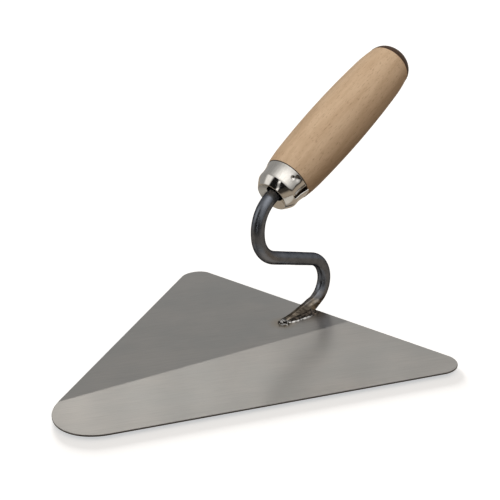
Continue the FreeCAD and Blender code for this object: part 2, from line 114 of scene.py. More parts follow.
# The room, in degrees: a glow overhead, grey walls, and patches of sky. A patch has an azimuth, an
# elevation, half its width, half its height, the softness of its edge and perhaps a roll.
TOP_DIRECTION = (-85.0, 62.0)
TOP_STRENGTH = 1.3
WALL_STRENGTH = 0.385
SIDE_WINDOW = (146.0, 30.0, 17.0, 14.0, 0.12)
SIDE_STRENGTH = 0.75
DARK_ROOM = (208.0, 4.0, 46.0, 27.0, 0.06, -40.0)
LIGHT_LEFT_IN_DARK = 0.02

# Narrow strips of light in the dark room: elevation, half height and strength.
STRIPS = [(14.0, 14.0, 0.4), (27.0, 5.0, 1.2), (4.0, 4.0, 1.2)]
STRIP_AZIMUTH = 210.0
STRIP_HALF_WIDTH = 4.5
STRIP_SOFTNESS = 0.02

# The lamps' directions are an azimuth and an elevation in degrees. Matt surfaces get only a share of the
# room's light, and the soft key makes up for it.
ROOM_ON_MATT = 0.48
KEY_DIRECTION = (205.0, 60.0)
KEY_ENERGY = 1.66
KEY_COLOUR = (0.94, 1.0, 1.07)
KEY_SPREAD = math.radians(70.0)
SHADOW_DIRECTION = (60.0, 12.5)
SHADOW_ENERGY = 6.2
SHADOW_SPREAD = math.radians(22.0)
BACK_DIRECTION = (187.0, 19.0)
BACK_ENERGY = 2.6
BACK_SIZE = 1.5

# Low lamps behind the trowel, watts by azimuth. They are masked along the line between two points on the
# blade, so that only its near half catches them.
LAMP_POWERS = {72: 0.55, 66: 0.6, 60: 0.55, 54: 0.48, 48: 0.42, 42: 0.35, 36: 0.3, 30: 0.25}
LAMP_ELEVATION = 30.0
LAMP_DISTANCE = 2.0
LAMP_COLOUR = (1.0, 0.97, 0.93)
MASK_NEAR_POINT = Vector((-88.3, 19.7, BLADE_TOP)) * MM
MASK_NEAR_HEEL = Vector((61.5, -28.0, BLADE_TOP)) * MM
MASK_SOFTNESS = 0.0002


# ---------------------------------------------------------------- shader helpers

def add_node(tree, kind, inputs=None, **settings):
    """Adds a shader node, sets its properties, and fills or links its inputs by name or number."""
    made = tree.nodes.new(kind)
    for name, value in settings.items():
        setattr(made, name, value)
    for name, value in (inputs or {}).items():
        if isinstance(value, bpy.types.NodeSocket):
            tree.links.new(value, made.inputs[name])
        else:
            made.inputs[name].default_value = value
    return made


def calculate(tree, operation, first, second=0.0):
    return add_node(tree, "ShaderNodeMath", {0: first, 1: second}, operation=operation).outputs[0]


def dot_with(tree, vector, direction):
    """How far a vector reaches along a fixed direction."""
    made = add_node(tree, "ShaderNodeVectorMath", {0: vector, 1: direction}, operation="DOT_PRODUCT")
    return made.outputs["Value"]


def ease(tree, value, start, end, low=0.0, high=1.0):
    """Runs smoothly from low to high while value goes from start to end."""
    inputs = {"Value": value, "From Min": start, "From Max": end, "To Min": low, "To Max": high}
    made = add_node(tree, "ShaderNodeMapRange", inputs, interpolation_type="SMOOTHSTEP")
    return made.outputs["Result"]


def blend_values(tree, factor, first, second):
    made = add_node(tree, "ShaderNodeMix", {0: factor, 2: first, 3: second}, data_type="FLOAT")
    return made.outputs[0]


def blend_colours(tree, factor, first, second):
    made = add_node(tree, "ShaderNodeMix", {0: factor}, data_type="RGBA")
    for socket, value in ((made.inputs[6], first), (made.inputs[7], second)):
        if isinstance(value, bpy.types.NodeSocket):
            tree.links.new(value, socket)
        else:
            socket.default_value = (*value, 1.0)
    return made.outputs[2]


def noise(tree, vector, scale, detail=3.0, roughness=0.55):
    inputs = {"Vector": vector, "Scale": scale, "Detail": detail, "Roughness": roughness}
    return add_node(tree, "ShaderNodeTexNoise", inputs).outputs["Fac"]


def object_place(tree):
    return add_node(tree, "ShaderNodeTexCoord").outputs["Object"]


def distance_to(tree, point):
    """Distance of the surface from a fixed point, in metres."""
    inputs = {0: object_place(tree), 1: point}
    return add_node(tree, "ShaderNodeVectorMath", inputs, operation="DISTANCE").outputs["Value"]


def stretched(tree, stretch, turn_y=0.0, turn_z=0.0):
    """Object coordinates, turned and then scaled differently along each axis."""
    inputs = {"Vector": object_place(tree), "Rotation": (0.0, turn_y, turn_z)}
    turned = add_node(tree, "ShaderNodeMapping", inputs).outputs[0]
    return add_node(tree, "ShaderNodeMapping", {"Vector": turned, "Scale": stretch}).outputs[0]


def bump(tree, height, strength, distance):
    inputs = {"Height": height, "Strength": strength, "Distance": distance}
    return add_node(tree, "ShaderNodeBump", inputs).outputs["Normal"]


def new_material(name, **values):
    """A principled material whose even values are set on the shader's own sockets."""
    material = bpy.data.materials.new(name)
    material.use_nodes = True
    tree = material.node_tree
    shader = tree.nodes["Principled BSDF"]
    for socket, value in values.items():
        shader.inputs[socket.replace("_", " ")].default_value = value
    return material, tree, shader


def finish_shader(tree, shader, **links):
    for socket, output in links.items():
        tree.links.new(output, shader.inputs[socket.replace("_", " ")])


# ---------------------------------------------------------------- materials

def satin_steel():
    """Cold-rolled sheet, ground to a fine satin, with a tint at the weld and edges darker: sheared tone and
    painted shade.
    """
    material, tree, shader = new_material("satin_steel", Metallic=1.0, Roughness=0.277)
    fine = noise(tree, stretched(tree, (60.0, 1100.0, 1100.0), 0.0, GRIND_TURN), 1.0, 4.0, 0.65)
    bands = noise(tree, stretched(tree, (16.0, 170.0, 170.0), 0.0, GRIND_TURN), 1.0, 3.0, 0.6)
    clouds = noise(tree, stretched(tree, (24.0, 24.0, 24.0)), 1.0, 3.0)
    shade = blend_colours(tree, ease(tree, clouds, 0.3, 0.7), (0.495, 0.487, 0.462), (0.555, 0.53, 0.495))
    banded = blend_colours(tree, ease(tree, bands, 0.35, 0.7, 0.0, 0.1), shade, (0.40, 0.38, 0.355))
    streaked = blend_colours(tree, ease(tree, fine, 0.4, 0.7, 0.0, 0.27), banded, (0.36, 0.35, 0.33))
    ragged = calculate(tree, "MULTIPLY", clouds, 8.0 * MM)
    uneven = calculate(tree, "ADD", distance_to(tree, WELD_TOE), ragged)
    tint = ease(tree, uneven, 15.0 * MM, 7.0 * MM, 0.0, 0.5)
    tinted = blend_colours(tree, tint, streaked, (0.46, 0.37, 0.24))
    # Faces that don't point up take a dark colour: partly the sheared edge's own tone, partly painted shade
    # on the edges.
    facing = add_node(tree, "ShaderNodeNewGeometry").outputs["True Normal"]
    flat = ease(tree, dot_with(tree, facing, (0.0, 0.0, 1.0)), 0.75, 0.98)
    colour = blend_colours(tree, flat, (0.15, 0.14, 0.13), tinted)
    normal = bump(tree, bands, 0.05, 0.05 * MM)
    finish_shader(tree, shader, Base_Color=colour, Normal=normal)
    return material


def neck_steel():
    """Dark bar with a thin oxide skin, tinted brown by the heat of welding and bending."""
    material, tree, shader = new_material("neck_steel", Metallic=1.0)
    scale = noise(tree, stretched(tree, (260.0, 260.0, 260.0)), 1.0, 4.0, 0.6)
    drawn = noise(tree, stretched(tree, (60.0, 900.0, 60.0)), 1.0, 3.0)
    skin_tone = blend_colours(tree, ease(tree, scale, 0.3, 0.7), (0.155, 0.165, 0.185), (0.2, 0.21, 0.232))
    height = dot_with(tree, object_place(tree), (0.0, 0.0, 1.0 / MM))
    ragged = calculate(tree, "MULTIPLY", scale, 10.0)
    near_weld = ease(tree, calculate(tree, "ADD", height, ragged), 19.0, 9.0)
    scorch = noise(tree, stretched(tree, (60.0, 280.0, 280.0), -FOOT_ANGLE), 1.0, 4.0, 0.65)
    burnt = blend_colours(tree, ease(tree, scorch, 0.4, 0.62), (0.235, 0.195, 0.15), (0.075, 0.06, 0.046))
    tinted = blend_colours(tree, near_weld, skin_tone, burnt)
    near_bend = ease(tree, distance_to(tree, FRONT_BEND_TINT), 13.0 * MM, 5.0 * MM, 0.0, 0.35)
    colour = blend_colours(tree, near_bend, tinted, (0.22, 0.185, 0.15))
    roughness = ease(tree, scale, 0.25, 0.75, 0.24, 0.34)
    normal = bump(tree, calculate(tree, "ADD", scale, drawn), 0.07, 0.05 * MM)
    finish_shader(tree, shader, Base_Color=colour, Roughness=roughness, Normal=normal)
    # Mill scale stays dark where a clean bar's outline would be bright.
    shader.inputs["Specular Tint"].default_value = (0.2, 0.2, 0.22, 1.0)
    return material


def weld_metal():
    """Weld bright on its outer lip and toe, bare metal and painted highlight; black or brown from heat
    elsewhere.
    """
    material, tree, shader = new_material("weld_metal", Metallic=1.0)
    lumps = noise(tree, stretched(tree, (480.0, 480.0, 480.0)), 1.0, 3.0, 0.6)
    place = object_place(tree)
    outward = dot_with(tree, place, (-LIP_SPREAD / MM, -1.0 / MM, 0.0))
    on_lip = ease(tree, outward, LIP_START - 1.3, LIP_START - 0.8)
    before_heel = ease(tree, dot_with(tree, place, (1.0 / MM, 0.0, 0.0)), 61.5, 60.0)
    on_toe = ease(tree, distance_to(tree, WELD_TOE), 4.5 * MM, 3.0 * MM)
    # Painted highlight: the lip and toe take a bright bare-metal colour, partly the weld's own bare metal
    # and partly painted light.
    bare_and_highlight_mask = calculate(tree, "MAXIMUM", calculate(tree, "MULTIPLY", on_lip, before_heel), on_toe)
    scale = blend_colours(tree, ease(tree, lumps, 0.42, 0.6), (0.04, 0.034, 0.03), (0.15, 0.12, 0.095))
    bare_and_highlight_tone = blend_colours(tree, ease(tree, lumps, 0.4, 0.6), (0.2, 0.19, 0.18), (0.6, 0.58, 0.55))
    metal = blend_colours(tree, bare_and_highlight_mask, scale, bare_and_highlight_tone)
    toe_pits = calculate(tree, "MULTIPLY", on_toe, 0.09)
    sound = ease(tree, calculate(tree, "SUBTRACT", lumps, toe_pits), 0.37, 0.43)
    colour = blend_colours(tree, sound, (0.03, 0.025, 0.02), metal)
    roughness = ease(tree, bare_and_highlight_mask, 0.0, 1.0, 0.36, 0.2)
    normal = bump(tree, lumps, 0.35, 0.2 * MM)
    finish_shader(tree, shader, Base_Color=colour, Roughness=roughness, Normal=normal)
    return material


def nickel_plate():
    """Bright nickel plating on rolled sheet, a little warm in tone."""
    material, tree, shader = new_material("nickel_plate", Metallic=1.0)
    wear = noise(tree, stretched(tree, (260.0, 900.0, 900.0), HANDLE_ANGLE), 1.0, 4.0, 0.6)
    colour = blend_colours(tree, ease(tree, wear, 0.3, 0.75), (0.68, 0.65, 0.605), (0.61, 0.58, 0.53))
    roughness = ease(tree, wear, 0.3, 0.75, 0.07, 0.16)
    normal = bump(tree, wear, 0.04, 0.05 * MM)
    finish_shader(tree, shader, Base_Color=colour, Roughness=roughness, Normal=normal)
    return material


def beech():
    """Raw turned beech: pale, with short dark flecks along the grain, and painted shade at and under the
    ferrule.
    """
    material, tree, shader = new_material("beech", IOR=1.45)
    bands = noise(tree, stretched(tree, (26.0, 170.0, 170.0), HANDLE_ANGLE), 1.0, 4.0, 0.6)
    flecks = noise(tree, stretched(tree, (300.0, 1900.0, 1900.0), HANDLE_ANGLE), 1.0, 2.0, 0.5)
    pores = noise(tree, stretched(tree, (160.0, 5200.0, 5200.0), HANDLE_ANGLE), 1.0, 2.0, 0.6)
    shade = blend_colours(tree, ease(tree, bands, 0.3, 0.7), (0.71, 0.505, 0.32), (0.595, 0.405, 0.245))
    flecked = blend_colours(tree, ease(tree, flecks, 0.59, 0.7, 0.0, 0.5), shade, (0.34, 0.19, 0.1))
    grained = blend_colours(tree, ease(tree, pores, 0.5, 0.8, 0.0, 0.3), flecked, (0.4, 0.25, 0.14))
    inputs = {0: object_place(tree), 1: SEAT}
    from_seat = add_node(tree, "ShaderNodeVectorMath", inputs, operation="SUBTRACT").outputs[0]
    axis = Vector((math.cos(HANDLE_ANGLE), 0.0, math.sin(HANDLE_ANGLE)))
    # Painted shade: the wood turns dark from just behind the ferrule's rear edge and under it, where the
    # gap is in shade.
    painted_shade_at_ferrule = ease(tree, dot_with(tree, from_seat, axis), 0.6 * MM, 0.35 * MM)
    colour = blend_colours(tree, painted_shade_at_ferrule, grained, (0.06, 0.04, 0.025))
    roughness = ease(tree, bands, 0.3, 0.7, 0.55, 0.65)
    normal = bump(tree, pores, 0.15, 0.06 * MM)
    finish_shader(tree, shader, Base_Color=colour, Roughness=roughness, Normal=normal)
    return material


def charcoal_plastic():
    """Dark brown moulded plastic with a fine mottled grain."""
    material, tree, shader = new_material("charcoal_plastic", IOR=1.47)
    grain = noise(tree, stretched(tree, (900.0, 900.0, 900.0)), 1.0, 3.0, 0.6)
    colour = blend_colours(tree, grain, (0.03, 0.016, 0.01), (0.1, 0.055, 0.032))
    roughness = ease(tree, grain, 0.3, 0.7, 0.4, 0.52)
    normal = bump(tree, grain, 0.35, 0.12 * MM)
    finish_shader(tree, shader, Base_Color=colour, Roughness=roughness, Normal=normal)
    shader.inputs["Specular Tint"].default_value = (1.0, 0.78, 0.62, 1.0)
    shader.inputs["Specular IOR Level"].default_value = 0.2
    return material


def floor_white():
    """White paper. The object gets a weaker and warmer light from it than the camera does."""
    material = bpy.data.materials.new("floor_white")
    material.use_nodes = True
    tree = material.node_tree
    tree.nodes.clear()
    paper = add_node(tree, "ShaderNodeBsdfDiffuse", {"Color": (0.72, 0.715, 0.705, 1.0)})
    lift = add_node(tree, "ShaderNodeEmission", {"Color": (0.975, 0.99, 1.0, 1.0), "Strength": 0.56})
    seen = add_node(tree, "ShaderNodeAddShader", {0: paper.outputs[0], 1: lift.outputs[0]})
    towards_room = dot_with(tree, object_place(tree), direction_of(ROOM_SIDE, 0.0))
    away = ease(tree, towards_room, *TABLE_EDGE)
    table = blend_colours(tree, away, (0.55, 0.50, 0.43), (0.06, 0.055, 0.05))
    path = add_node(tree, "ShaderNodeLightPath")
    faint = blend_colours(tree, path.outputs["Is Diffuse Ray"], table, (0.12, 0.085, 0.052))
    bounce = add_node(tree, "ShaderNodeBsdfDiffuse", {"Color": faint})
    inputs = {0: path.outputs["Is Camera Ray"], 1: bounce.outputs[0], 2: seen.outputs[0]}
    mixed = add_node(tree, "ShaderNodeMixShader", inputs)
    add_node(tree, "ShaderNodeOutputMaterial", {"Surface": mixed.outputs[0]})
    return material


# ---------------------------------------------------------------- studio

def direction_of(azimuth, elevation):
    """Unit vector: azimuth turns from +X towards +Y, elevation is above the floor, both in degrees."""
    around = math.radians(azimuth)
    above = math.radians(elevation)
    return Vector((math.cos(above) * math.cos(around), math.cos(above) * math.sin(around), math.sin(above)))


def window(tree, direction, azimuth, elevation, half_width, half_height, softness, roll=0.0):
    """1 inside a rectangle of sky and 0 outside, with soft edges. The angles are in degrees."""
    middle = direction_of(azimuth, elevation)
    level = Vector((-middle.y, middle.x, 0.0)).normalized()
    across = Matrix.Rotation(math.radians(roll), 3, middle) @ level
    upward = middle.cross(across)
    side = calculate(tree, "ABSOLUTE", dot_with(tree, direction, across))
    height = calculate(tree, "ABSOLUTE", dot_with(tree, direction, upward))
    front = ease(tree, dot_with(tree, direction, middle), 0.0, 0.2)
    wide = math.sin(math.radians(half_width))
    tall = math.sin(math.radians(half_height))
    inside = calculate(
        tree, "MULTIPLY",
        ease(tree, side, wide + softness, wide - softness),
        ease(tree, height, tall + softness, tall - softness),
    )
    return calculate(tree, "MULTIPLY", inside, front)


def build_world():
    """A soft studio: bright diffuser overhead, grey walls, and a dark room on the camera's side."""
    world = bpy.data.worlds.new("studio")
    bpy.context.scene.world = world
    world.use_nodes = True
    tree = world.node_tree
    tree.nodes.clear()
    direction = add_node(tree, "ShaderNodeTexCoord").outputs["Generated"]
    towards_top = calculate(tree, "MAXIMUM", dot_with(tree, direction, direction_of(*TOP_DIRECTION)), 0.0)
    top_light = calculate(tree, "MULTIPLY", calculate(tree, "POWER", towards_top, 4.0), TOP_STRENGTH)
    side_light = calculate(tree, "MULTIPLY", window(tree, direction, *SIDE_WINDOW), SIDE_STRENGTH)
    glow = calculate(tree, "ADD", calculate(tree, "ADD", top_light, side_light), WALL_STRENGTH)
    dark_room = window(tree, direction, *DARK_ROOM)
    room = calculate(tree, "MULTIPLY", glow, ease(tree, dark_room, 0.0, 1.0, 1.0, LIGHT_LEFT_IN_DARK))
    for elevation, half_height, strength in STRIPS:
        patch = (STRIP_AZIMUTH, elevation, STRIP_HALF_WIDTH, half_height, STRIP_SOFTNESS)
        strip = window(tree, direction, *patch)
        room = calculate(tree, "ADD", room, calculate(tree, "MULTIPLY", strip, strength))
    path = add_node(tree, "ShaderNodeLightPath")
    weaker = calculate(tree, "MULTIPLY", room, ROOM_ON_MATT)
    lit = blend_values(tree, path.outputs["Is Diffuse Ray"], room, weaker)
    strength = blend_values(tree, path.outputs["Is Camera Ray"], lit, 1.0)
    tone = blend_colours(tree, path.outputs["Is Diffuse Ray"], (1.0, 1.0, 1.0), (1.0, 0.89, 0.79))
    backdrop = add_node(tree, "ShaderNodeBackground", {"Color": tone, "Strength": strength})
    add_node(tree, "ShaderNodeOutputWorld", {"Surface": backdrop.outputs[0]})


def collection_of(name, *members):
    made = bpy.data.collections.new(name)
    for member in members:
        made.objects.link(member)
    return made


def add_soft_key(matt_pieces):
    """Wide lamp over the near side, for the matt pieces alone. No surface mirrors it."""
    data = bpy.data.lights.new("soft_key", "SUN")
    data.energy = KEY_ENERGY
    data.color = KEY_COLOUR
    data.angle = KEY_SPREAD
    lamp = bpy.data.objects.new("soft_key", data)
    lamp.rotation_euler = direction_of(*KEY_DIRECTION).to_track_quat("Z", "Y").to_euler()
    lamp.visible_glossy = False
    bpy.context.scene.collection.objects.link(lamp)
    lamp.light_linking.receiver_collection = collection_of("matt_parts", *matt_pieces)


def add_shadow_lamp(floor, blade):
    """Low soft light from behind on the paper alone: only the blade's shadow shows in it."""
    data = bpy.data.lights.new("shadow_lamp", "SUN")
    data.energy = SHADOW_ENERGY
    data.angle = SHADOW_SPREAD
    lamp = bpy.data.objects.new("shadow_lamp", data)
    lamp.rotation_euler = direction_of(*SHADOW_DIRECTION).to_track_quat("Z", "Y").to_euler()
    bpy.context.scene.collection.objects.link(lamp)
    lamp.light_linking.receiver_collection = collection_of("shadow_receiver", floor)
    lamp.light_linking.blocker_collection = collection_of("shadow_blocker", blade)


def add_back_lamp(receivers):
    """Wide lamp in front of the point, which the blade mirrors towards the handle's end."""
    data = bpy.data.lights.new("back_lamp", "AREA")
    data.energy = BACK_ENERGY
    data.size = BACK_SIZE
    data.use_shadow = False
    lamp = bpy.data.objects.new("back_lamp", data)
    towards = direction_of(*BACK_DIRECTION)
    lamp.location = towards * LAMP_DISTANCE
    lamp.rotation_euler = towards.to_track_quat("Z", "Y").to_euler()
    bpy.context.scene.collection.objects.link(lamp)
    lamp.light_linking.receiver_collection = receivers


def add_masked_lamp(azimuth, power, receivers):
    """Low lamp behind the trowel that only the blade receives, cut off along a straight edge."""
    place = direction_of(azimuth, LAMP_ELEVATION) * LAMP_DISTANCE
    edge = (MASK_NEAR_POINT - place).cross(MASK_NEAR_HEEL - place).normalized()
    data = bpy.data.lights.new("masked_lamp", "POINT")
    data.energy = power
    data.color = LAMP_COLOUR
    data.shadow_soft_size = 0.0
    data.use_shadow = False
    data.use_nodes = True
    tree = data.node_tree
    tree.nodes.clear()
    outward = add_node(tree, "ShaderNodeTexCoord").outputs["Normal"]
    strength = ease(tree, dot_with(tree, outward, edge), -MASK_SOFTNESS, MASK_SOFTNESS)
    glow = add_node(tree, "ShaderNodeEmission", {"Strength": strength})
    add_node(tree, "ShaderNodeOutputLight", {"Surface": glow.outputs[0]})
    lamp = bpy.data.objects.new("masked_lamp", data)
    lamp.location = place
    bpy.context.scene.collection.objects.link(lamp)
    lamp.light_linking.receiver_collection = receivers


def add_floor():
    """The paper is only a setting for the pictures, so it is not attached as a piece."""
    half = FLOOR_SIZE / 2.0
    corners = [(-half, -half), (half, -half), (half, half), (-half, half)]
    mesh = bpy.data.meshes.new("floor")
    mesh.from_pydata([(x, y, -FLOOR_GAP) for x, y in corners], [], [(0, 1, 2, 3)])
    mesh.materials.append(floor_white())
    floor = bpy.data.objects.new("floor", mesh)
    bpy.context.scene.collection.objects.link(floor)
    return floor


def add_camera():
    """The camera looks at its target from the named distance, and is rolled about its own view."""
    towards_eye = Vector((
        math.sin(CAMERA_AZIMUTH) * math.cos(CAMERA_ELEVATION),
        -math.cos(CAMERA_AZIMUTH) * math.cos(CAMERA_ELEVATION),
        math.sin(CAMERA_ELEVATION),
    ))
    level = (-towards_eye).cross(Vector((0.0, 0.0, 1.0))).normalized()
    upward = level.cross(-towards_eye)
    right = math.cos(CAMERA_ROLL) * level - math.sin(CAMERA_ROLL) * upward
    top = math.sin(CAMERA_ROLL) * level + math.cos(CAMERA_ROLL) * upward
    data = bpy.data.cameras.new("camera")
    data.sensor_width = 36.0
    data.lens = CAMERA_LENS
    data.clip_start = 0.01
    data.clip_end = 50.0
    camera = bpy.data.objects.new("camera", data)
    place = Matrix((right, top, towards_eye)).transposed().to_4x4()
    place.translation = CAMERA_TARGET + towards_eye * CAMERA_DISTANCE
    camera.matrix_world = place
    bpy.context.scene.collection.objects.link(camera)
    bpy.context.scene.camera = camera


# ---------------------------------------------------------------- mesh helpers

def skin(rings):
    """Quads from each ring of points to the next, with a cap on both ends."""
    points = [point for ring in rings for point in ring]
    size = len(rings[0])
    faces = []
    for start in range(0, len(points) - size, size):
        for place in range(size):
            after = (place + 1) % size
            faces.append((start + place, start + after, start + size + after, start + size + place))
    faces.append(tuple(reversed(range(size))))
    faces.append(tuple(range(len(points) - size, len(points))))
    return points, faces


def new_piece(name, points, faces, material, crease=40.0):
    """A mesh piece from points in millimetres, which replaces the CAD node of the same name."""
    mesh = bpy.data.meshes.new(name)
    mesh.from_pydata([Vector(point) * MM for point in points], [], faces)
    work = bmesh.new()
    work.from_mesh(mesh)
    bmesh.ops.recalc_face_normals(work, faces=work.faces)
    work.to_mesh(mesh)
    work.free()
    mesh.materials.append(material)
    mesh.polygons.foreach_set("use_smooth", [True] * len(mesh.polygons))
    mesh.set_sharp_from_angle(angle=math.radians(crease))
    piece = bpy.data.objects.new(name + "_detailed", mesh)
    bpy.context.scene.collection.objects.link(piece)
    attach(piece, "root")
    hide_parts(name)
    return piece


def smooth_step(value, start, end):
    share = min(max((value - start) / (end - start), 0.0), 1.0)
    return share * share * (3.0 - 2.0 * share)


def mix(first, second, share):
    return first + (second - first) * share


def lump(x, y, z, size):
    """Smooth random height from -1 to 1 whose bumps are about size across."""
    return noise_field.noise(Vector((x, y, z)) / size)


# ---------------------------------------------------------------- neck

def bar_course(step=1.2):
    """Centre (x, z) and slope of the bar every step, from the heel of the blade to the tang's end."""
    start = Vector((HEEL_X, NECK_CORNERS[0][1] - (NECK_CORNERS[0][0] - HEEL_X) * math.tan(FOOT_ANGLE)))
    ahead = Vector((math.cos(HANDLE_ANGLE), math.sin(HANDLE_ANGLE)))
    corners = [Vector(corner) for corner in NECK_CORNERS]
    stops = [start] + corners + [corners[-1] + ahead * TANG_LENGTH]
    course = []
    here = start
    for before, corner, after, bend in zip(stops, stops[1:], stops[2:], NECK_BENDS):
        enter = (corner - before).normalized()
        leave = (after - corner).normalized()
        turn = enter.angle_signed(leave)
        reach = bend * math.tan(abs(turn) / 2.0)
        bend_start = corner - enter * reach
        course += straight_run(here, bend_start, step)
        centre = bend_start + Vector((-enter.y, enter.x)) * math.copysign(bend, -turn)
        spoke = bend_start - centre
        count = max(2, round(bend * abs(turn) / step))
        for number in range(count):
            swing = Matrix.Rotation(-turn * number / count, 2)
            heading = swing @ enter
            course.append((centre + swing @ spoke, math.atan2(heading.y, heading.x)))
        here = corner + leave * reach
    return course + straight_run(here, stops[-1], step)


def straight_run(start, end, step):
    heading = end - start
    slope = math.atan2(heading.y, heading.x)
    count = max(1, round(heading.length / step))
    return [(start + heading * number / count, slope) for number in range(count)]


def hammered_radius(angle, top, bottom, crest, base, sharpness=18.0):
    """Distance out to a round-cornered trapezium that stands on its wider side."""
    lean = math.atan2(base - crest, top + bottom)
    side = crest * math.cos(lean) + top * math.sin(lean)
    faces = [(math.pi / 2, top), (-math.pi / 2, bottom + 1.0), (lean, side), (math.pi - lean, side)]
    total = sum((max(math.cos(angle - facing), 0.0) / reach) ** sharpness for facing, reach in faces)
    return total ** (-1.0 / sharpness)


def tongue_crest(x):
    return TONGUE_CREST + TONGUE_RISE * (x - TONGUE_START)


def crest_height(x):
    """Height of the tongue's crest over the blade, which turns smoothly into the top of the bar."""
    bar = bar_height(x) + BAR_RADIUS / math.cos(FOOT_ANGLE)
    return soft_maximum(tongue_crest(x), bar, 0.5)


def bar_height(x):
    """Height of the lowest straight stretch's centreline over the blade."""
    return NECK_CORNERS[0][1] - BLADE_TOP - (NECK_CORNERS[0][0] - x) * math.tan(FOOT_ANGLE)


def soft_maximum(first, second, softness):
    """The larger value, rounded off where the two are about equal."""
    return 0.5 * (first + second + math.hypot(first - second, softness))


def neck_ring(centre, slope, flat_top, flat_side, top, bottom, crest, base, count=56):
    """One ring across the bar: flat_top and flat_side are 1 on the hammered tongue, 0 on the round bar."""
    upward = Vector((-math.sin(slope), 0.0, math.cos(slope)))
    middle = Vector((centre.x, 0.0, centre.y))
    ring = []
    for number in range(count):
        angle = 2.0 * math.pi * number / count
        tongue = hammered_radius(angle, top, bottom, crest, base)
        flat = mix(flat_side, flat_top, smooth_step(math.sin(angle), 0.1, 0.7))
        out = mix(BAR_RADIUS, tongue, flat)
        point = middle + Vector((0.0, math.cos(angle) * out, 0.0)) + upward * math.sin(angle) * out
        hammered = 0.22 * flat * lump(point.x, point.y, point.z, 3.2)
        waved = 0.05 * lump(point.x, point.y, point.z, 9.0)
        point += (point - middle).normalized() * (hammered + waved)
        point.z = max(point.z, BLADE_TOP - TONGUE_SINK) if point.x < JOIN_X else point.z
        ring.append(point)
    return ring


def make_neck(material):
    """One bar: a hammered tongue on the blade, three bends and the tang."""
    rings = []
    stations = 32
    for number in range(stations):
        x = mix(TOE_X, JOIN_X, number / stations)
        bent = smooth_step(x, 63.0, JOIN_X)
        slope = mix(math.atan(TONGUE_RISE / 2.0), FOOT_ANGLE, bent)
        middle = max(soft_maximum(0.5 * tongue_crest(x), bar_height(x), 0.7), 0.3)
        steepness = mix(TONGUE_RISE, math.tan(FOOT_ANGLE), bent)
        top = max(crest_height(x) - middle, 0.3) / (math.cos(slope) + steepness * math.sin(slope))
        bottom = middle / math.cos(slope)
        share = min((x - TOE_X) / (HEEL_X - TOE_X), 1.0)
        flat_top = 1.0 - 0.75 * smooth_step(x, 66.0, JOIN_X)
        flat_side = 1.0 - smooth_step(x, 62.0, 72.0)
        crest = mix(CREST_AT_TOE, CREST_AT_HEEL, share)
        base = mix(BASE_AT_TOE, BASE_AT_HEEL, share)
        centre = Vector((x, BLADE_TOP + middle))
        rings.append(neck_ring(centre, slope, flat_top, flat_side, top, bottom, crest, base))
    for centre, slope in bar_course():
        low = centre.y < FOOT_TOP
        if low and centre.x < JOIN_X:
            continue
        flat_top = 0.25 * (1.0 - smooth_step(centre.x, JOIN_X, 80.0)) if low else 0.0
        rings.append(neck_ring(centre, slope, flat_top, 0.0, BAR_RADIUS, 3.2, CREST_AT_HEEL, BASE_AT_HEEL))
    points, faces = skin(rings)
    return new_piece("neck_rod", points, faces, material)


# ---------------------------------------------------------------- welds

def weld_section(x, side, inner, outer, height, seed):
    """Across a fillet weld: from the tongue down into a groove, up over the outer lip, and back below."""
    steps = 18
    ring = []
    for number in range(steps + 1):
        share = number / steps
        y = mix(inner, outer, share)
        drop = (1.0 - smooth_step(share, 0.0, 0.75)) * height
        lip = 0.8 * math.exp(-((share - 0.84) / 0.12) ** 2)
        ripple = 0.1 * math.sin(2.0 * math.pi * (x + 1.4 * share * share) / 1.7) * (1.0 - share)
        rough = 0.2 * lump(x + seed, y, 0.0, 1.3) * (1.0 - 0.7 * share)
        fade = smooth_step(share, 0.0, 0.15) * (1.0 - smooth_step(share, 0.93, 1.0))
        rise = drop + (lip + ripple + rough) * fade
        ring.append(Vector((x, side * y, BLADE_TOP + max(rise, 0.02) if share < 1.0 else BLADE_TOP)))
    ring.append(Vector((x, side * outer, BLADE_TOP - WELD_SINK)))
    ring.append(Vector((x, side * inner, BLADE_TOP - WELD_SINK)))
    return ring


def make_side_weld(name, side, toe_width, heel_width, heel_blob, material):
    """Fillet weld along one side of the tongue; side is -1 for the near side."""
    rings = []
    stations = 60
    for number in range(stations + 1):
        share = number / stations
        x = TOE_X + 0.4 + WELD_LENGTH * share
        close = math.sin(math.pi * min(max(share, 0.012), 0.988)) ** 0.35
        wobble = 0.25 * lump(x, 7.0 * side, 3.0, 3.4)
        blob = heel_blob * math.exp(-((share - 0.9) / 0.08) ** 2)
        inner = mix(1.3, 3.4, share)
        outer = inner + (mix(toe_width, heel_width, share) + wobble + blob) * close
        height = (mix(1.0, 1.8, share) + 1.1 * blob + 0.3 * wobble) * close
        rings.append(weld_section(x, side, inner, outer, height, 11.0 * side))
    points, faces = skin(rings)
    return new_piece(name, points, faces, material, 60.0)


def make_toe_weld(material):
    """Lumpy blob across the toe of the tongue."""
    rings = []
    levels = 15
    around = 48
    for level in range(levels):
        climb = math.pi / 2 * level / (levels - 0.5)
        out = math.cos(climb)
        up = math.sin(climb)
        ring = []
        for number in range(around):
            angle = 2.0 * math.pi * number / around
            x = math.cos(angle) * out
            y = math.sin(angle) * out
            place = Vector((x, y, up)) * 3.0
            bulge = 1.0 + 0.4 * lump(*place, 1.4) + 0.2 * lump(*place, 0.6)
            offset = Vector((3.4 * x, 3.5 * y, 2.1 * up)) * bulge
            ring.append(WELD_TOE / MM + offset - Vector((0.0, 0.0, 0.1)))
        rings.append(ring)
    points, faces = skin(rings)
    return new_piece("weld_bead_toe", points, faces, material, 60.0)


# ---------------------------------------------------------------- ferrule

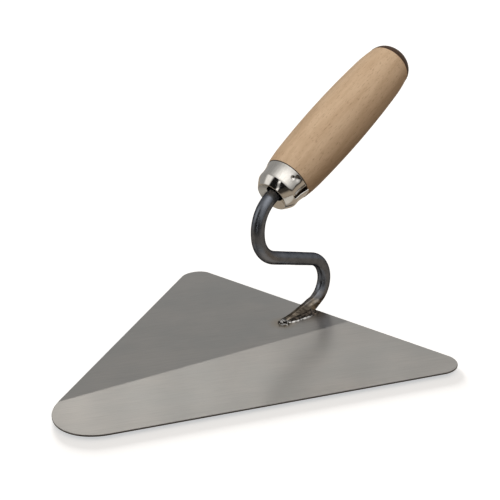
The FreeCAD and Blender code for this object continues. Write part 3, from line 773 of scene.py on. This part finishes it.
def rounded_profile(corners, radii, step=0.3, bend_steps=8):
    """Points at most a step apart along a line of straight runs whose corners are rounded."""
    points = [Vector(corner) for corner in corners]
    profile = [points[0]]
    for before, corner, after, radius in zip(points, points[1:], points[2:], radii):
        enter = (corner - before).normalized()
        leave = (after - corner).normalized()
        for number in range(bend_steps + 1):
            share = number / bend_steps
            first = corner - enter * radius * (1.0 - share)
            second = corner + leave * radius * share
            profile.append(first.lerp(second, share))
    profile.append(points[-1])
    spaced = [profile[0]]
    for start, end in zip(profile, profile[1:]):
        count = max(1, math.ceil((end - start).length / step))
        spaced += [start.lerp(end, number / count) for number in range(1, count + 1)]
    return spaced


def angle_between(angle, mark):
    """How far an angle is past a mark, from -180 to 180 degrees."""
    return (angle - mark + 180.0) % 360.0 - 180.0


def ferrule_lift(angle, along, out):
    """How far the rolled sheet stands off a true round: seam lips, stake mark and slight waves."""
    on_band = smooth_step(along, SHOULDER - 0.3, SHOULDER + 1.2)
    from_seam = angle_between(angle, SEAM_ANGLE)
    upper_lip = 0.4 * math.exp(-((from_seam + SEAM_HALF_GAP) / 3.5) ** 2) if from_seam < 0.0 else 0.0
    opened = 0.35 + 0.9 * smooth_step(along, SHOULDER, 0.0)
    lower_lip = opened * math.exp(-((from_seam - SEAM_HALF_GAP) / 13.0) ** 2) if from_seam > 0.0 else 0.0
    across = math.radians(angle_between(angle, STAKE_ANGLE)) * BAND_RADIUS
    distance = math.hypot(across, along - STAKE_PLACE)
    stake = -0.55 * math.exp(-(distance / 0.85) ** 2) + 0.06 * math.exp(-((distance - 1.5) / 0.45) ** 2)
    behind = math.hypot(across - 2.2, along - STAKE_PLACE - 1.6)
    stake -= 0.5 * math.exp(-(behind / 1.5) ** 2)
    turn = math.radians(angle)
    wave = 0.05 * lump(math.cos(turn) * BAND_RADIUS, math.sin(turn) * BAND_RADIUS, along, 5.0)
    down_cone = min(max((along - SHOULDER) / (RIM - SHOULDER), 0.0), 1.0)
    bulge = 0.2 * math.sin(math.pi * down_cone) if out > RIM_RADIUS else 0.0
    return (upper_lip + lower_lip + stake + wave) * on_band + bulge


def make_ferrule(material):
    """Rolled and plated sheet: flared rear lip, band with an open seam, cone and dished front."""
    corners = [
        (0.0, LIP_RADIUS - 0.15), (FLARE_END, BAND_RADIUS), (SHOULDER, BAND_RADIUS),
        (RIM, RIM_RADIUS), (RIM + DISH_DEPTH, HOLE_RADIUS),
    ]
    profile = rounded_profile(corners, [3.0, 0.8, 0.45])
    gap_count = 8
    sheet_count = 236
    seam_gap = SEAM_HALF_GAP * 2.0
    gap_step = seam_gap / gap_count
    sheet_step = (360.0 - seam_gap) / sheet_count
    gap = [SEAM_ANGLE - SEAM_HALF_GAP + gap_step * number for number in range(gap_count)]
    sheet = [SEAM_ANGLE + SEAM_HALF_GAP + sheet_step * number for number in range(sheet_count)]
    axis = Vector((math.cos(HANDLE_ANGLE), 0.0, math.sin(HANDLE_ANGLE)))
    top = Vector((-math.sin(HANDLE_ANGLE), 0.0, math.cos(HANDLE_ANGLE)))
    left = Vector((0.0, -1.0, 0.0))
    points = []
    for along, out in profile:
        for angle in gap + sheet:
            turn = math.radians(angle)
            outward = top * math.cos(turn) + left * math.sin(turn)
            reach = out + ferrule_lift(angle, along, out)
            points.append(SEAT / MM + axis * along + outward * reach)
    size = gap_count + sheet_count
    faces = []
    # Along the band the gap gets no faces, so that the seam is open.
    for row in range(len(profile) - 1):
        in_band = profile[row + 1][0] > SHOULDER - 0.4 and profile[row][1] > RIM_RADIUS + 2.0
        for column in range(size):
            if in_band and column < gap_count:
                continue
            after = (column + 1) % size
            start = row * size
            faces.append((start + column, start + after, start + size + after, start + size + column))
    piece = new_piece("ferrule", points, faces, material, 50.0)
    wall = piece.modifiers.new("wall", "SOLIDIFY")
    wall.thickness = SHEET * MM
    wall.offset = -1.0
    wall.use_even_offset = True
    return piece


# ---------------------------------------------------------------- CAD nodes

def dress(name, material):
    """Gives a CAD node its finished material."""
    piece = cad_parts[name]
    piece.data.materials.clear()
    piece.data.materials.append(material)


def main():
    add_camera()
    floor = add_floor()
    build_world()
    add_soft_key([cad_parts["handle"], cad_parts["end_cap"]])
    add_shadow_lamp(floor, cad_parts["blade"])
    receivers = collection_of("lit_by_blade_lamps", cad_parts["blade"])
    add_back_lamp(receivers)
    for azimuth, power in LAMP_POWERS.items():
        add_masked_lamp(azimuth, power, receivers)
    bpy.context.scene.view_settings.view_transform = "Standard"
    dress("blade", satin_steel())
    make_neck(neck_steel())
    weld = weld_metal()
    make_side_weld("weld_bead_left", -1.0, 4.1, 6.2, 1.3, weld)
    make_side_weld("weld_bead_right", 1.0, 1.6, 2.4, 0.2, weld)
    make_toe_weld(weld)
    make_ferrule(nickel_plate())
    dress("handle", beech())
    dress("end_cap", charcoal_plastic())


main()
